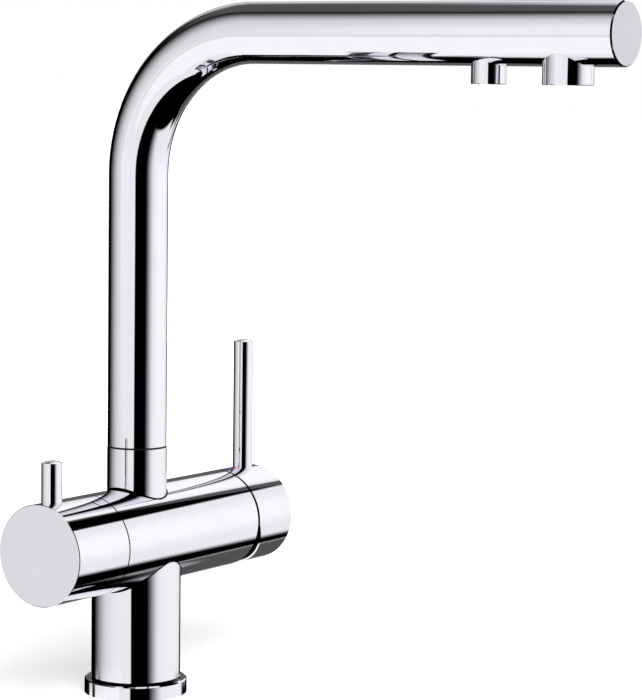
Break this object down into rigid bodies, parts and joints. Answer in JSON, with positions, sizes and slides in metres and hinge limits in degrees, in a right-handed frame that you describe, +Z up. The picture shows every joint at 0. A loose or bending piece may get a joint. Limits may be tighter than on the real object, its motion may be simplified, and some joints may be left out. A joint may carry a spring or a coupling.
{
  "type": "drinking water filter tap",
  "caption": "Three-way kitchen tap: tall swivel spout with separate mixed and filtered outlets, mixer lever on one end of the barrel and filtered-water lever on the other.",
  "frame": {"origin": "centre of the base ring's underside, on the mouth of the fixing stud's hole and on the spout's swivel axis", "axes": "+Z up, -Y the way the spout points at rest, +X towards the mixer lever's end of the barrel"},
  "size_m": [0.1726, 0.2868, 0.3349],
  "materials": {
    "polished_chrome": "polished, nickel and chromium plated brass",
    "turned_brass": "turned, unplated",
    "stainless": "fine turned stainless steel",
    "zinc_steel": "dark zinc plated steel",
    "alumina": "lapped alumina",
    "seal_rubber": "matte black",
    "cartridge_grey": "dark grey moulded",
    "black_plastic": "black moulded",
    "white_plastic": "off-white moulded",
    "water_tube_plastic": "translucent polyethylene, milky",
    "cold_blue": "blue enamel",
    "hot_red": "red enamel"
  },
  "bodies": {
    "tap": {"base_ring": "polished_chrome", "base_gasket": "seal_rubber", "body_column": "polished_chrome", "body_barrel": "polished_chrome", "spout_neck": "polished_chrome", "cartridge_seals": "seal_rubber", "cartridge_base": "cartridge_grey", "cartridge_housing": "cartridge_grey", "fixed_ceramic_disc": "alumina", "cartridge_nut": "turned_brass", "cartridge_shroud": "black_plastic", "valve_seat_seal": "seal_rubber", "valve_body": "turned_brass", "valve_body_seal": "seal_rubber", "valve_fixed_disc": "alumina", "glide_ring": "black_plastic", "spout_stop_screw": "stainless", "tube_seal": "seal_rubber"},
    "spout": {"spout_tube": "polished_chrome", "spout_end_cap": "polished_chrome", "filter_outlet": "polished_chrome", "mixer_outlet": "polished_chrome", "aerator_shell": "polished_chrome", "aerator_insert": "black_plastic", "aerator_washer": "seal_rubber", "stream_former": "white_plastic", "filtered_water_tube": "water_tube_plastic", "swivel_spigot": "turned_brass", "swivel_seals": "seal_rubber", "swivel_bearings": "white_plastic"},
    "filter_handle": {"filter_knob": "polished_chrome", "filter_lever": "polished_chrome", "filter_grub_screw": "stainless", "valve_spindle": "turned_brass", "valve_moving_disc": "alumina", "valve_spindle_seals": "seal_rubber", "valve_circlip": "stainless"},
    "mixer_rotor": {"cartridge_rotor": "white_plastic", "stem_pivot_pin": "stainless"},
    "mixer_handle": {"mixer_handle": "polished_chrome", "mixer_lever": "polished_chrome", "mixer_grub_screw": "stainless", "lever_stem": "turned_brass", "cold_mark": "cold_blue", "hot_mark": "hot_red"},
    "mixing_disc": {"moving_ceramic_disc": "alumina", "disc_carrier": "white_plastic"}
  },
  "joints": [
    {"name": "spout_swivel", "type": "hinge", "parent": "tap", "child": "spout", "pos_m": [0, 0, 0.1208], "axis": [0, 0, 1], "range_deg": [-75, 75]},
    {"name": "filter_turn", "type": "hinge", "parent": "tap", "child": "filter_handle", "pos_m": [-0.06, 0, 0.0769], "axis": [1, 0, 0], "range_deg": [0, 90]},
    {"name": "mixer_temperature", "type": "hinge", "parent": "tap", "child": "mixer_rotor", "pos_m": [0.07, 0, 0.0769], "axis": [1, 0, 0], "range_deg": [-45, 45]},
    {"name": "mixer_flow", "type": "hinge", "parent": "mixer_rotor", "child": "mixer_handle", "pos_m": [0.07, 0, 0.0769], "axis": [0, 1, 0], "range_deg": [0, 20]},
    {"name": "disc_slide", "type": "slide", "parent": "mixer_rotor", "child": "mixing_disc", "axis": [0, 0, 1], "range_m": [0, 0.00378]}
  ],
  "couplings": [
    {"joint": "disc_slide", "follows": "mixer_flow", "m_per_rad": 0.01078}
  ]
}
